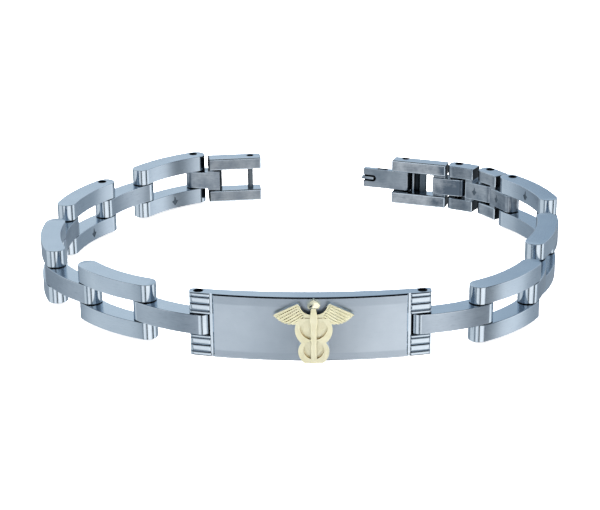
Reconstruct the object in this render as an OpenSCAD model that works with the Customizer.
// Medical alert bracelet, standing on its edge with its clasp undone.
// A curved name plate carries a raised emblem and is pinned at both ends to a chain
// of single middle links and paired rails that turns from pin to pin round the wrist.
// X runs along the plate, Y from the plate to the clasp and Z up the pins, in millimetres.

/* [Plate] */
// Height of the plate on its edge
plate_h = 10; // [9:0.1:12]
// Distance between the pins at the ends of the plate
plate_pitch = 32.6; // [28:0.2:40]
// Thickness of the plate at its middle
plate_t = 2.5; // [2.3:0.1:3.2]
// Radius of the plate's outer face
plate_r = 72; // [64:1:90]
// Radius of the plate's inner face
plate_inner_r = 92; // [80:1:120]
// Length of plate past each end pin
plate_over = 1.35; // [1.2:0.05:2]
// Length of the ribbed block at each end of the plate
rib_zone = 3.2; // [2.8:0.1:4.5]
// Number of ribs above and below each notch
rib_count = 4; // [3:1:6]
// Radius of the round grooves between the ribs
rib_groove_r = 0.16; // [0.1:0.02:0.24]
// Depth of the ribbed blocks below the plate's outer face
rib_drop = 0.15; // [0.05:0.05:0.3]
// Depth of the upright groove between the face and each ribbed block
face_groove = 0.3; // [0.2:0.05:0.5]
// Width of the upright groove between the face and each ribbed block
face_groove_w = 0.4; // [0.3:0.05:0.6]

/* [Chain] */
// Distance between the two pins of a middle link
link_pitch = 9.8; // [9.4:0.1:12]
// Distance between the two pins of a pair of rails
rail_pitch = 11.4; // [10.6:0.1:13]
// Height of a middle link and of every tongue
link_h = 3.1; // [2.6:0.1:3.4]
// Height of one rail
rail_h = 2.75; // [2.4:0.05:3.1]
// Thickness of links and rails from the wrist side to the outer side
bar_t = 3.2; // [2.8:0.1:3.6]
// Radius to which every link and rail is bent
bend_r = 24; // [18:1:60]
// Distance of the pins from the middle line of the bars, towards the outer side
pin_out = 0.45; // [0.2:0.05:0.55]
// Length of bar between a pin and the centre of the bar's round end
nose_over = 0.12; // [0:0.02:0.4]
// Clearance between a tongue and the rails or cheeks on each side of it
side_gap = 0.1; // [0.05:0.01:0.2]
// Clearance round the nose of a link in its notch
nose_gap = 0.15; // [0.1:0.05:0.3]

/* [Pins] */
// Diameter of the chain's pins
pin_d = 1.2; // [1:0.05:1.3]
// Clearance between a pin and its bores, on the radius
pin_fit = 0.04; // [0.02:0.01:0.08]
// Depth of the end of an open pin below the surface
pin_recess = 0.3; // [0.2:0.05:0.5]
// Metal left over the end of a covered pin
pin_roof = 0.6; // [0.4:0.05:0.9]

/* [Short links] */
// Distance between the two pins of a short link
short_pitch = 6.1; // [5.9:0.1:8]
// Thickness of the short links
short_t = 2.8; // [2.5:0.1:3.2]
// Height of the short links and of both halves of the clasp
clasp_h = 8.1; // [7.8:0.1:9.4]
// Height of each cheek of a short link and of each arm of the clasp
arm_h = 2.15; // [1.8:0.05:2.2]
// Length of tongue that shows between a short link's cheeks and the piece it is pinned in
cheek_gap = 0.45; // [0.3:0.05:1.4]

/* [Clasp end] */
// Thickness of the clasp end's arms
end_t = 2.9; // [2.6:0.1:3.2]
// Distance along the arms from the chain's last pin to the catch bar
end_reach = 10.2; // [9.6:0.1:12]
// Distance across the arms from the chain's last pin to the catch bar
end_offset = 1.05; // [0.8:0.05:1.4]
// Distance of the catch bar from the middle line of the arms, towards the outer side
end_bar_out = 0.2; // [0:0.05:0.5]
// Clearance between the arms and the round ends of the last rails
end_gap = 0.4; // [0.1:0.05:0.8]
// Length of the web that joins the arms
end_web = 2.4; // [1.8:0.1:3]
// Length of arm past the catch bar
end_over = 1.9; // [1.2:0.1:2.4]
// Diameter of the catch bar and of the lever's pin
bar_d = 1; // [0.8:0.05:1.1]

/* [Clasp box] */
// Distance from the chain's last pin to the lever's pin
box_pitch = 9.8; // [9.4:0.1:12]
// Thickness of the clasp box
box_t = 2.4; // [2.2:0.1:2.8]
// Clearance between the arms and the round ends of the last short link's cheeks
box_gap = 0.1; // [0.05:0.05:0.4]
// Length of the web that joins the arms
box_web = 2.4; // [1.8:0.1:3]
// Length of arm past the lever's pin
box_over = 2.2; // [1.4:0.1:2.6]
// Start of the bridge between the arms, measured back from the lever's pin
bridge_start = 3.6; // [3.4:0.1:3.8]
// Length of the bridge along the arms
bridge_l = 2.3; // [1.6:0.1:2.4]
// Thickness of the bridge, at the outer side of the box
bridge_t = 0.8; // [0.5:0.05:0.9]
// Width of the groove across the bridge
bridge_groove_w = 0.7; // [0.4:0.05:0.9]
// Depth of the groove across the bridge
bridge_groove = 0.3; // [0.1:0.05:0.4]

/* [Lever] */
// Length of the lever from its pin
lever_l = 7.7; // [7:0.1:9]
// Thickness of the lever's blade
lever_t = 1.1; // [0.9:0.05:1.3]
// Radius of the lever's round hinge end
lever_hub_r = 0.95; // [0.85:0.05:1.05]
// Clearance between the lever and the arm on each side
lever_gap = 0.15; // [0.1:0.01:0.25]
// Length of the pocket at the lever's free end
pocket_l = 2.4; // [2:0.1:3]
// Height of the pocket
pocket_h = 1.2; // [1:0.05:1.5]
// Metal left behind the pocket
pocket_floor = 0.3; // [0.2:0.05:0.5]
// Height of the hook finger in the pocket
finger_h = 0.6; // [0.5:0.05:0.9]
// Clearance between the finger and the closed end of the pocket
finger_back_gap = 0.5; // [0.3:0.05:0.6]
// Length of the finger past the lever's end
finger_over = 0.35; // [0.2:0.05:0.6]
// Distance from the lever's pin to the middle of the catch groove
catch_at = 4.2; // [3.6:0.1:4.6]
// Depth of the catch groove in the lever's outer side
catch_depth = 0.5; // [0.3:0.05:0.55]

/* [Emblem] */
// Distance of the staff from the plate's middle, towards the clasp box's side
emblem_shift = 0.5; // [-1:0.1:1]
// Height of the emblem's thin ground above the plate
ground_relief = 0.5; // [0.4:0.05:0.6]
// Height of the wings' feathers above the plate
feather_relief = 0.7; // [0.65:0.05:0.75]
// Height of the coils above the plate
coil_relief = 0.8; // [0.7:0.05:0.85]
// Height of the staff above the plate
staff_relief = 0.9; // [0.85:0.05:1.1]
// Width of the staff
staff_w = 0.95; // [0.8:0.05:1.1]
// Radius of the upper coil
upper_coil_r = 2.7; // [2.5:0.05:2.9]
// Radius of the lower coil
lower_coil_r = 2.25; // [2:0.05:2.4]
// Distance from the staff to a wing's tip
wing_reach = 5.75; // [5.2:0.05:6.5]
// Number of feathers in a wing
feather_count = 5; // [4:1:6]
// Width of the finial on top of the staff
finial_w = 1.8; // [1.4:0.1:2.2]

/* [Hidden] */
$fn = 72;
ARC_FN = 288;
EPS = 0.01;
FAR = 200;
// Radius of a round end over half the thickness, above 1 so that it meets the flat sides at an angle
NOSE = 1.05;
// Distance of the lever's inner face from its pin over the radius of its round hinge end
HUB_SHARE = 0.92;

STEEL = "lightsteelblue";
GOLD = "khaki";

// Each side of the chain, from the plate to the clasp
LEFT = ["link", "rails", "link", "rails", "link", "rails", "link", "rails", "end"];
RIGHT = ["link", "rails", "link", "rails", "link", "rails", "short", "short", "box"];
// Turn at each pin in degrees, as the bracelet lies
LEFT_TURNS = [28, 9, 12, 33, 12, 22, 11, 13, 33];
RIGHT_TURNS = [21, 24, 33, -3, 8, 34, 7, 25, 13];
// Pins whose ends show in a hole
LEFT_OPEN = [0, 6, 8];
RIGHT_OPEN = [0, 6, 7, 8];
LEFT_LAST = len(LEFT) - 1;
RIGHT_LAST = len(RIGHT) - 1;
FIRST_SHORT = search(["short"], RIGHT)[0];

chain_h = link_h + 2 * rail_h + 2 * side_gap;
stand_h = max(plate_h, chain_h, clasp_h);
mid_z = stand_h / 2;
bore_r = pin_d / 2 + pin_fit;
bar_bore_r = bar_d / 2 + pin_fit;
window_h = clasp_h - 2 * arm_h;

// Farthest that the round end of a bar reaches from its pin, whichever way it is turned
function nose_reach(t) = NOSE * t / 2 + norm([nose_over, pin_out]);
end_arm_start = nose_reach(bar_t) + end_gap;
box_arm_start = nose_reach(short_t) + box_gap;

// The plate's arcs, set so that the end pins run in the middle of its thickness
pin_x = plate_pitch / 2;
plate_half = pin_x + plate_over;
outer_sag = plate_r - sqrt(pow(plate_r, 2) - pow(pin_x, 2));
inner_sag = plate_inner_r - sqrt(pow(plate_inner_r, 2) - pow(pin_x, 2));
plate_face_y = -(plate_t + inner_sag - outer_sag) / 2 - outer_sag;
plate_centre_y = plate_face_y + plate_r;
plate_inner_centre_y = plate_face_y + plate_t + plate_inner_r;
face_half = plate_half - rib_zone;
notch_h = link_h + 2 * side_gap;
notch_in = nose_reach(bar_t) + nose_gap;
rib_block_h = (plate_h - notch_h) / 2;

// Plan of the chain, worked out from pin to pin; a local X runs along each piece, Y outwards
function total(list, last) = last < 0 ? 0 : list[last] + total(list, last - 1);
function heading(turns, i) = 180 - total(turns, i);
function along(angle) = [cos(angle), sin(angle)];
function step_of(kind) =
    kind == "link" ? link_pitch : kind == "rails" ? rail_pitch : kind == "short" ? short_pitch : 0;
function pin_point(kinds, turns, i) =
    i == 0 ? [-pin_x, 0]
           : pin_point(kinds, turns, i - 1) + step_of(kinds[i - 1]) * along(heading(turns, i - 1));
function placed(origin, angle, p) =
    origin + p.x * along(angle) + p.y * along(angle + 90);

// Middle lines of the bars
function bend_centre(pitch) = [pitch / 2, -pin_out - sqrt(pow(bend_r, 2) - pow(pitch / 2, 2))];
function bend_sweep(pitch) = asin((pitch / 2 + nose_over) / bend_r);

// Middle lines of the clasp's arms
end_mid_y = -end_offset - end_bar_out;
box_mid_y = -pin_out;

// Outline points of each kind of piece, for the overall size
function bar_outline(pitch, t) =
    let (c = bend_centre(pitch), s = bend_sweep(pitch))
    concat([for (k = [-1 : 0.05 : 1]) c + (bend_r + t / 2) * [sin(k * s), cos(k * s)]],
           [for (k = [-1, 1], a = [0 : 5 : 355])
               let (p = bend_r * [k * sin(s), cos(s)] + NOSE * t / 2 * along(a))
               if (abs(norm(p) - bend_r) <= t / 2) c + p]);
function arm_corners(x0, x1, mid_y, t) = [for (x = [x0, x1], y = [mid_y - t / 2, mid_y + t / 2]) [x, y]];
function outline(kind) =
    kind == "end" ? arm_corners(end_arm_start, end_reach + end_over, end_mid_y, end_t)
    : kind == "box" ? arm_corners(box_arm_start, box_pitch + box_over, box_mid_y, box_t)
    : bar_outline(step_of(kind), kind == "short" ? short_t : bar_t);
function side_outline(kinds, turns) =
    [for (i = [0 : len(kinds) - 1], p = outline(kinds[i]))
        placed(pin_point(kinds, turns, i), heading(turns, i), p)];

left_points = side_outline(LEFT, LEFT_TURNS);
right_points = side_outline(RIGHT, RIGHT_TURNS);
left_reach = max([for (p = left_points) -p.x]);
right_reach = max([for (p = right_points) -p.x]);
back_y = max([for (p = concat(left_points, right_points)) p.y]);
front_y = plate_face_y - max(staff_relief, coil_relief, feather_relief);
// Middle of the overall size in plan, which becomes the origin
middle = [(right_reach - left_reach) / 2, (back_y + front_y) / 2];

// Names
function rail_name(side, i, level) = str(side, "_rail_", (i + 1) / 2, "_", level);
function link_name(side, i) = str(side, "_link_", i / 2 + 1);
function pin_name(side, i) = str(side, "_pin_", i + 1);
function short_name(i) = str("short_link_", i - FIRST_SHORT + 1);
function side_names(side, kinds) = [for (i = [0 : len(kinds) - 1]) each
    concat(kinds[i] == "link" ? [link_name(side, i)]
           : kinds[i] == "rails" ? [rail_name(side, i, "top"), rail_name(side, i, "bottom")]
           : kinds[i] == "short" ? [short_name(i)] : [],
           [pin_name(side, i)])];

// Placing
module on_side(side) {
    translate([-middle.x, -middle.y, 0])
        if (side == "right") mirror([1, 0, 0]) children();
        else children();
}

module at_piece(side, kinds, turns, i) {
    spot = pin_point(kinds, turns, i);
    on_side(side) translate([spot.x, spot.y, 0]) rotate(heading(turns, i)) children();
}

module slab(low, h) {
    translate([0, 0, mid_z + low]) linear_extrude(h) children();
}

module upright(x, y, r, low, h) {
    translate([x, y, mid_z + low]) cylinder(h = h, r = r);
}

// Plan of a bent bar with a round end past each pin
module bar_plan(pitch, t) {
    sweep = bend_sweep(pitch);
    translate(bend_centre(pitch)) intersection() {
        difference() {
            circle(bend_r + t / 2, $fn = ARC_FN);
            circle(bend_r - t / 2, $fn = ARC_FN);
        }
        union() {
            polygon([[0, 0], for (a = [-sweep, sweep]) 2 * bend_r * [sin(a), cos(a)]]);
            for (a = [-sweep, sweep]) rotate(-a) translate([0, bend_r]) circle(NOSE * t / 2);
        }
    }
}

// Plan of a straight strip along X with a round end at X = 0
module strip_plan(l, t) {
    intersection() {
        translate([-t, -t / 2]) square([l + t, t]);
        union() {
            circle(NOSE * t / 2);
            translate([0, -t]) square([l, 2 * t]);
        }
    }
}

module plan_between(x0, x1) {
    translate([x0, -FAR / 2]) square([x1 - x0, FAR]);
}

// Name plate
module plate_disc(centre_y, r) {
    translate([0, centre_y]) circle(r, $fn = 2 * ARC_FN);
}

module plate_plan(half) {
    intersection() {
        difference() {
            plate_disc(plate_centre_y, plate_r);
            plate_disc(plate_inner_centre_y, plate_inner_r);
        }
        translate([-half, plate_face_y - 1]) square([2 * half, FAR / 4]);
    }
}

// Shell in front of a sunk face of the plate, for a length of the face
module face_cut(depth, x0, x1) {
    translate([0, 0, -EPS]) linear_extrude(plate_h + 2 * EPS) intersection() {
        difference() {
            translate([x0, plate_face_y - 1]) square([x1 - x0, FAR / 8]);
            plate_disc(plate_centre_y, plate_r - depth);
        }
    }
}

module rib_grooves(low) {
    pitch = rib_block_h / rib_count;
    for (k = [1 : rib_count - 1]) translate([0, plate_centre_y, low + k * pitch])
        rotate_extrude($fn = 2 * ARC_FN) translate([plate_r - rib_drop, 0]) circle(rib_groove_r, $fn = 24);
}

module end_cuts() {
    face_cut(rib_drop, face_half, plate_half + 1);
    face_cut(face_groove, face_half, face_half + face_groove_w);
    intersection() {
        union() {
            rib_grooves(0);
            rib_grooves(plate_h - rib_block_h);
        }
        translate([face_half + face_groove_w, -FAR / 2, -EPS])
            cube([rib_zone, FAR, plate_h + 2 * EPS]);
    }
    translate([pin_x - notch_in, -FAR / 2, (plate_h - notch_h) / 2])
        cube([notch_in + plate_over + 1, FAR, notch_h]);
    translate([pin_x, 0, -EPS]) cylinder(h = plate_h + 2 * EPS, r = bore_r);
}

module name_plate() {
    color(STEEL) on_side("left") translate([0, 0, mid_z - plate_h / 2]) difference() {
        linear_extrude(plate_h) plate_plan(plate_half);
        end_cuts();
        mirror([1, 0, 0]) end_cuts();
    }
}

// Emblem: drawn in the plane of the plate, with the staff on X = 0 and the plate's lower edge at 0
upper_coil_z = 0.52 * plate_h;
lower_coil_z = 0.16 * plate_h;
coil_top = 0.68 * plate_h;
// The upper window is a disc with a straight top
upper_window_r = 0.78 * upper_coil_r;
upper_window_z = upper_coil_z + 0.17 * upper_coil_r;
upper_window_top = 0.66 * plate_h;
// The lower window is what two discs share, each with its radius and the height of its centre
lower_window = [[0.7 * lower_coil_r, lower_coil_z + 0.15 * lower_coil_r],
                [0.77 * lower_coil_r, lower_coil_z - 0.3 * lower_coil_r]];
window_staff_w = staff_w + 0.2;
// A wing from its root over the shoulder and the tip, and back under the feathers
wing_edge = [for (p = [[0.22, 0.755], [0.31, 0.82], [0.37, 0.9], [1, 0.7], [0.84, 0.625], [0.7, 0.575],
                       [0.57, 0.565], [0.45, 0.61]]) [p.x * wing_reach, p.y * plate_h]];
wing_root = [staff_w / 2, 0.74 * plate_h];
wing_shoulder = wing_edge[2];
wing_tip = wing_edge[3];
wing_heel = wing_edge[6];
wing_foot = [staff_w / 2, 0.6 * plate_h];
wing_hollow_r = 0.115 * wing_reach;
wing_hollow = [0.2 * wing_reach, 0.86 * plate_h];
feather_share = 0.72;
finial_z = [0.84 * plate_h, 0.89 * plate_h, 0.995 * plate_h];

module relief(height) {
    on_side("left") intersection() {
        translate([0, plate_centre_y, mid_z - plate_h / 2]) difference() {
            cylinder(h = plate_h, r = plate_r + height, $fn = 2 * ARC_FN);
            translate([0, 0, -1]) cylinder(h = plate_h + 2, r = plate_r, $fn = 2 * ARC_FN);
        }
        translate([emblem_shift, 0, mid_z - plate_h / 2])
            rotate([90, 0, 0]) linear_extrude(FAR / 8) children();
    }
}

module coil_discs() {
    translate([0, upper_coil_z]) circle(upper_coil_r);
    translate([0, lower_coil_z]) circle(lower_coil_r);
}

module coil_windows() {
    difference() {
        union() {
            intersection() {
                translate([0, upper_window_z]) circle(upper_window_r);
                translate([-FAR / 2, 0]) square([FAR, upper_window_top]);
            }
            intersection() {
                translate([0, lower_window[0][1]]) circle(lower_window[0][0]);
                translate([0, lower_window[1][1]]) circle(lower_window[1][0]);
            }
        }
        square([window_staff_w, FAR], center = true);
    }
}

module wing_outline() {
    difference() {
        polygon(concat([wing_root], wing_edge, [wing_foot]));
        translate(wing_hollow) circle(wing_hollow_r);
    }
}

// Straight feathers side by side under the leading edge
module wing_feathers() {
    edge = wing_tip - wing_shoulder;
    lean = atan2(edge.y, edge.x);
    pitch = (wing_shoulder.y - wing_heel.y) * cos(lean) / (feather_count + 1 - feather_share / 2);
    intersection() {
        wing_outline();
        translate(wing_shoulder) rotate(lean)
            for (k = [1 : feather_count])
                translate([-wing_shoulder.x / 2, (feather_share / 8 - k) * pitch])
                    square([wing_reach, feather_share * pitch]);
    }
}

module finial_outline() {
    polygon([[0, finial_z[2]], [-finial_w / 2, finial_z[1]], [-staff_w / 2, finial_z[0]],
             [staff_w / 2, finial_z[0]], [finial_w / 2, finial_z[1]]]);
}

module emblem() {
    color(GOLD) {
        relief(ground_relief) {
            coil_discs();
            for (m = [0, 1]) mirror([m, 0]) wing_outline();
        }
        relief(coil_relief) difference() {
            intersection() {
                coil_discs();
                translate([-FAR / 2, 0]) square([FAR, coil_top]);
            }
            coil_windows();
        }
        relief(feather_relief) for (m = [0, 1]) mirror([m, 0]) wing_feathers();
        relief(staff_relief) {
            translate([-staff_w / 2, 0]) square([staff_w, finial_z[1]]);
            finial_outline();
        }
    }
}

// Chain
module centre_link() {
    color(STEEL) difference() {
        slab(-link_h / 2, link_h) bar_plan(link_pitch, bar_t);
        for (x = [0, link_pitch]) upright(x, 0, bore_r, -link_h / 2 - 1, link_h + 2);
    }
}

// One rail, drawn on top; its bores run through or stop under the top face
module rail(open_start, open_end) {
    low = link_h / 2 + side_gap;
    color(STEEL) difference() {
        slab(low, rail_h) bar_plan(rail_pitch, bar_t);
        upright(0, 0, bore_r, low - 1, open_start ? rail_h + 2 : rail_h - pin_roof + 1);
        upright(rail_pitch, 0, bore_r, low - 1, open_end ? rail_h + 2 : rail_h - pin_roof + 1);
    }
}

module lower() {
    translate([0, 0, 2 * mid_z]) mirror([0, 0, 1]) children();
}

module short_link() {
    cheek_from = nose_reach(max(bar_t, short_t)) + cheek_gap;
    web_to = short_pitch - nose_reach(short_t) - nose_gap;
    color(STEEL) difference() {
        union() {
            slab(-link_h / 2, link_h) intersection() {
                bar_plan(short_pitch, short_t);
                plan_between(-FAR / 2, web_to);
            }
            for (low = [-clasp_h / 2, clasp_h / 2 - arm_h]) slab(low, arm_h) intersection() {
                bar_plan(short_pitch, short_t);
                plan_between(cheek_from, FAR / 2);
            }
            slab(-clasp_h / 2 + arm_h - EPS, window_h + 2 * EPS) intersection() {
                bar_plan(short_pitch, short_t);
                plan_between(cheek_from, web_to);
            }
        }
        upright(0, 0, bore_r, -link_h / 2 - 1, link_h + 2);
        upright(short_pitch, 0, bore_r, -clasp_h / 2 - 1, clasp_h + 2);
    }
}

// Pin from end to end of what it holds together, short of both faces
module chain_pin(held_h, cover) {
    color(STEEL) upright(0, 0, pin_d / 2, cover - held_h / 2, held_h - 2 * cover);
}

// Clasp
module clasp_arms(x0, x1, mid_y, t, web) {
    for (low = [-clasp_h / 2, clasp_h / 2 - arm_h])
        slab(low, arm_h) translate([x0, mid_y - t / 2]) square([x1 - x0, t]);
    slab(-clasp_h / 2 + arm_h - EPS, window_h + 2 * EPS)
        translate([x0, mid_y - t / 2]) square([web, t]);
}

module clasp_end() {
    tilt = atan2(end_mid_y + pin_out, end_arm_start + end_web / 2);
    color(STEEL) difference() {
        union() {
            clasp_arms(end_arm_start, end_reach + end_over, end_mid_y, end_t, end_web);
            slab(-link_h / 2, link_h) intersection() {
                translate([0, -pin_out]) rotate(tilt) strip_plan(end_arm_start + end_web, short_t);
                plan_between(-FAR / 2, end_arm_start + end_web / 2);
            }
        }
        upright(0, 0, bore_r, -link_h / 2 - 1, link_h + 2);
        upright(end_reach, -end_offset, bar_bore_r, -clasp_h / 2 - 1, clasp_h + 2);
    }
}

module catch_bar() {
    low = pin_recess - clasp_h / 2;
    color(STEEL) upright(end_reach, -end_offset, bar_d / 2, low, -2 * low);
}

module clasp_box() {
    outer_y = box_mid_y + box_t / 2;
    bridge_x = box_pitch - bridge_start;
    color(STEEL) difference() {
        union() {
            clasp_arms(box_arm_start, box_pitch + box_over, box_mid_y, box_t, box_web);
            slab(-link_h / 2, link_h) translate([0, box_mid_y]) strip_plan(box_arm_start + EPS, box_t);
            slab(-window_h / 2 - EPS, window_h + 2 * EPS)
                translate([bridge_x, outer_y - bridge_t]) square([bridge_l, bridge_t]);
        }
        slab(-window_h / 2, window_h)
            translate([bridge_x + (bridge_l - bridge_groove_w) / 2, outer_y - bridge_t - 1])
                square([bridge_groove_w, bridge_groove + 1]);
        upright(0, 0, bore_r, -link_h / 2 - 1, link_h + 2);
        upright(box_pitch, 0, bar_bore_r, -clasp_h / 2 - 1, clasp_h + 2);
    }
}

module lever_pin() {
    color(STEEL) upright(box_pitch, 0, bar_d / 2, pin_recess - clasp_h / 2, clasp_h - 2 * pin_recess);
}

// Lever, folded out of the box; its inner face is level with the wrist side of its hinge end
module clasp_lever() {
    h = window_h - 2 * lever_gap;
    inner_y = -HUB_SHARE * lever_hub_r;
    finger_x = lever_l - pocket_l + finger_back_gap;
    finger_l = lever_l + finger_over - finger_x;
    pocket_t = lever_t - pocket_floor;
    finger_t = pocket_t + EPS;
    catch_r = bar_bore_r + pin_fit;
    color(STEEL) translate([box_pitch, 0, 0]) {
        difference() {
            slab(-h / 2, h) {
                circle(lever_hub_r);
                translate([0, inner_y]) square([lever_l, lever_t]);
            }
            upright(0, 0, bar_bore_r, -h / 2 - 1, h + 2);
            slab(-pocket_h / 2, pocket_h) translate([lever_l - pocket_l, inner_y - 1])
                square([pocket_l + 1, pocket_t + 1]);
            upright(catch_at, inner_y + lever_t + catch_r - catch_depth, catch_r,
                    -h / 2 - 1, h + 2);
        }
        slab(-finger_h / 2, finger_h)
            translate([finger_x + finger_l - NOSE * finger_t / 2, inner_y + finger_t / 2]) rotate(180)
                strip_plan(finger_l - NOSE * finger_t / 2, finger_t);
    }
}

// Pieces of one side of the chain
module side_pieces(side, kinds, turns, open_pins) {
    for (i = [0 : len(kinds) - 1]) {
        kind = kinds[i];
        open_start = len(search(i, open_pins)) > 0;
        open_end = len(search(i + 1, open_pins)) > 0;
        held_h = i == 0 ? plate_h : kinds[i - 1] == "rails" || kind == "rails" ? chain_h : clasp_h;
        at_piece(side, kinds, turns, i)
            if (kind == "link") centre_link();
        at_piece(side, kinds, turns, i)
            if (kind == "rails") rail(open_start, open_end);
        at_piece(side, kinds, turns, i)
            if (kind == "rails") lower() rail(open_start, open_end);
        at_piece(side, kinds, turns, i)
            if (kind == "short") short_link();
        at_piece(side, kinds, turns, i)
            chain_pin(held_h, open_start ? pin_recess : pin_roof);
    }
}

name_plate();
emblem();
side_pieces("left", LEFT, LEFT_TURNS, LEFT_OPEN);
side_pieces("right", RIGHT, RIGHT_TURNS, RIGHT_OPEN);
at_piece("left", LEFT, LEFT_TURNS, LEFT_LAST) clasp_end();
at_piece("left", LEFT, LEFT_TURNS, LEFT_LAST) catch_bar();
at_piece("right", RIGHT, RIGHT_TURNS, RIGHT_LAST) clasp_box();
at_piece("right", RIGHT, RIGHT_TURNS, RIGHT_LAST) clasp_lever();
at_piece("right", RIGHT, RIGHT_TURNS, RIGHT_LAST) lever_pin();
